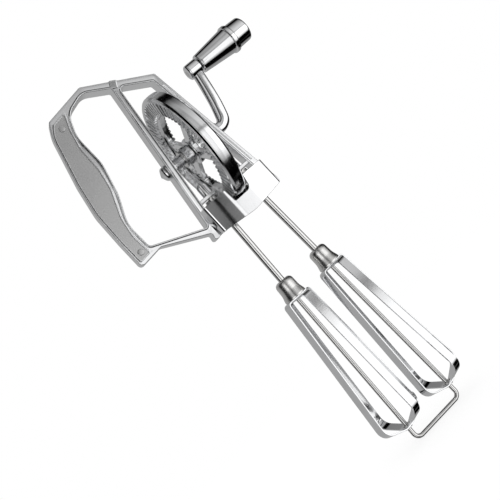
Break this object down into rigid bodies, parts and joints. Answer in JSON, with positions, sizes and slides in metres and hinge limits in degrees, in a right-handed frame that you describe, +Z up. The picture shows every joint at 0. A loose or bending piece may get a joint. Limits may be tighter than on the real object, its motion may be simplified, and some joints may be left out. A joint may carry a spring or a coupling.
{
  "type": "rotary egg beater",
  "caption": "Hand-cranked rotary egg beater: cast D-handle frame, spoked drive wheel with side crank and knob, strip-blade beaters turning on a looped wire.",
  "frame": {"origin": "lowest point of the loop wire's foot, midway between the beater axes", "axes": "+Z up along the beaters, +X towards the crank, -Y towards the front"},
  "size_m": [0.1568, 0.087, 0.3029],
  "materials": {
    "polished_chrome": "bright chrome plate, lightly worn",
    "plain_steel": "drawn and turned steel, semi-bright",
    "grey_panel": "satin grey metal insert"
  },
  "bodies": {
    "frame": {"frame_casting": "polished_chrome", "handle_panel_front": "grey_panel", "handle_panel_back": "grey_panel", "panel_rivets": "grey_panel", "guard_front": "polished_chrome", "guard_back": "polished_chrome", "axle_bush_left": "plain_steel", "axle_bush_right": "plain_steel", "lower_bush_left": "plain_steel", "lower_bush_right": "plain_steel", "bearing_cap_left": "polished_chrome", "bearing_cap_right": "polished_chrome", "loop_wire": "plain_steel"},
    "drive": {"drive_wheel": "polished_chrome", "crank_arm": "polished_chrome", "hub_pin": "plain_steel", "axle_spacer_left": "polished_chrome", "axle_spacer_right": "polished_chrome", "thrust_washers": "plain_steel", "axle_cap": "polished_chrome", "knob_spindle": "plain_steel"},
    "knob": {"knob_grip": "polished_chrome", "knob_cap": "polished_chrome"},
    "left_beater": {"left_shaft": "plain_steel", "left_pinion": "plain_steel", "left_ferrule": "polished_chrome", "left_outer_hoop": "polished_chrome", "left_inner_hoop": "polished_chrome", "left_eyelet": "plain_steel"},
    "right_beater": {"right_shaft": "plain_steel", "right_pinion": "plain_steel", "right_ferrule": "polished_chrome", "right_outer_hoop": "polished_chrome", "right_inner_hoop": "polished_chrome", "right_eyelet": "plain_steel"}
  },
  "joints": [
    {"name": "crank_spin", "type": "hinge", "parent": "frame", "child": "drive", "pos_m": [0, 0, 0.2285], "axis": [1, 0, 0], "continuous": true},
    {"name": "knob_spin", "type": "hinge", "parent": "drive", "child": "knob", "pos_m": [0.06, 0, 0.2675], "axis": [1, 0, 0], "continuous": true},
    {"name": "left_beater_spin", "type": "hinge", "parent": "frame", "child": "left_beater", "pos_m": [-0.0198, 0, 0], "axis": [0.0366, 0, 0.9993], "continuous": true},
    {"name": "right_beater_spin", "type": "hinge", "parent": "frame", "child": "right_beater", "pos_m": [0.0198, 0, 0], "axis": [-0.0366, 0, 0.9993], "continuous": true}
  ],
  "couplings": [
    {"joint": "left_beater_spin", "follows": "crank_spin", "ratio": 4},
    {"joint": "right_beater_spin", "follows": "crank_spin", "ratio": -4}
  ]
}
